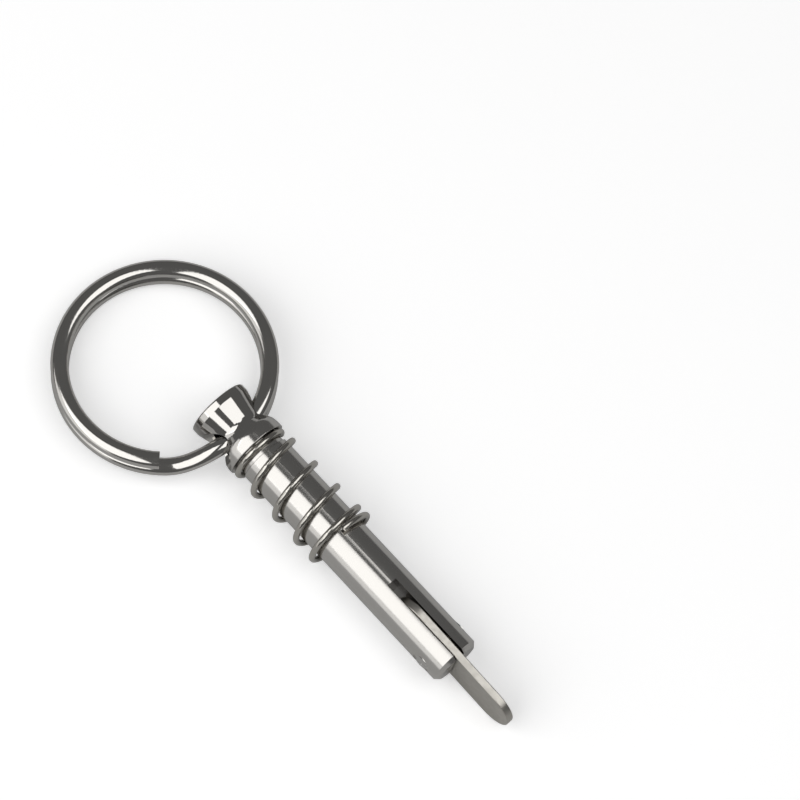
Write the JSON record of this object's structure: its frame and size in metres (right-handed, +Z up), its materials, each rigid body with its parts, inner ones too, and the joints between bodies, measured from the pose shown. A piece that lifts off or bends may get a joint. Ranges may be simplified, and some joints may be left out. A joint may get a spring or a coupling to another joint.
{
  "type": "drop-nose quick-release pin",
  "caption": "Spring-loaded quick-release pin with a waisted head, a split ring through the head and a rivet-hung toggle plate that drops crosswise to lock.",
  "frame": {"origin": "where the rivet's axis crosses the pin's axis, 2.8 mm behind the nose face", "axes": "+X along the pin from the head to the nose, +Y across the pin along the rivet and the ring's cross-hole, +Z up from the ground the pin lies on"},
  "size_m": [0.0711, 0.0266, 0.0088],
  "materials": {
    "pin_body": "turned and polished stainless steel",
    "rivet": "peened stainless steel",
    "spring": "drawn stainless spring wire",
    "toggle": "stamped and tumbled stainless plate, satin",
    "split_ring": "polished stainless wire"
  },
  "bodies": {
    "pin": {"pin_body": "pin_body", "rivet": "rivet", "spring": "spring"},
    "toggle": {"toggle": "toggle"},
    "ring": {"split_ring": "split_ring"}
  },
  "joints": [
    {"name": "toggle_hinge", "type": "hinge", "parent": "pin", "child": "toggle", "pos_m": [0, 0, 0], "axis": [0, 1, 0], "range_deg": [-146, 133.5]},
    {"name": "ring_hinge", "type": "hinge", "parent": "pin", "child": "ring", "pos_m": [-0.03395, 0, 0], "axis": [0, 1, 0], "range_deg": [-153, 165]}
  ]
}
